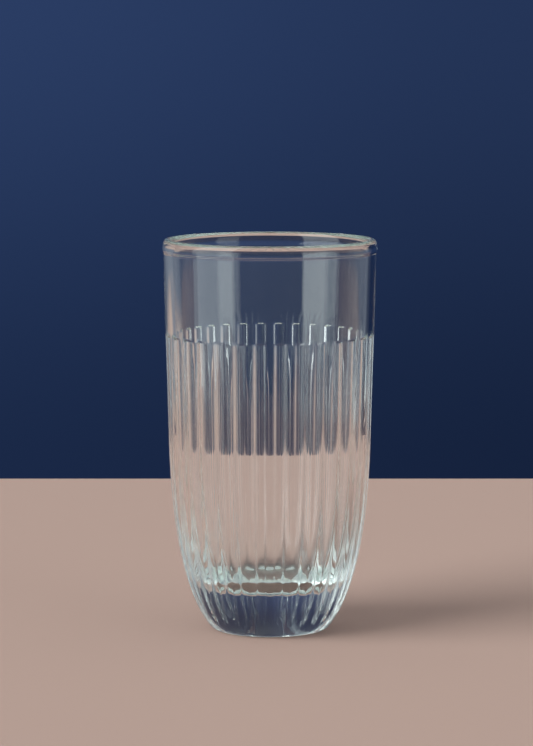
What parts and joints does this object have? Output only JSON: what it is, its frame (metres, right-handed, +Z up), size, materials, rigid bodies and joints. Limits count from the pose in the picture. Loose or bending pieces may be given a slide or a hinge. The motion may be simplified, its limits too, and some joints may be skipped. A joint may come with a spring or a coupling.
{
  "type": "tall tumbler",
  "caption": "Tall clear glass drinking tumbler with a rounded rim, a smooth upper band, a fluted wall that curves in to a small foot, and a thick solid base.",
  "frame": {"origin": "centre of the face the glass stands on, on the axis of the glass", "axes": "+Z up along the axis of the glass, from the foot to the rim; -Y faces the viewer of the picture"},
  "size_m": [0.08, 0.08, 0.1463],
  "materials": {
    "clear_glass": "clear fire-polished pressed glass with a faint green tint at the thick edges"
  },
  "bodies": {
    "root": {"glass_body": "clear_glass"}
  },
  "joints": []
}
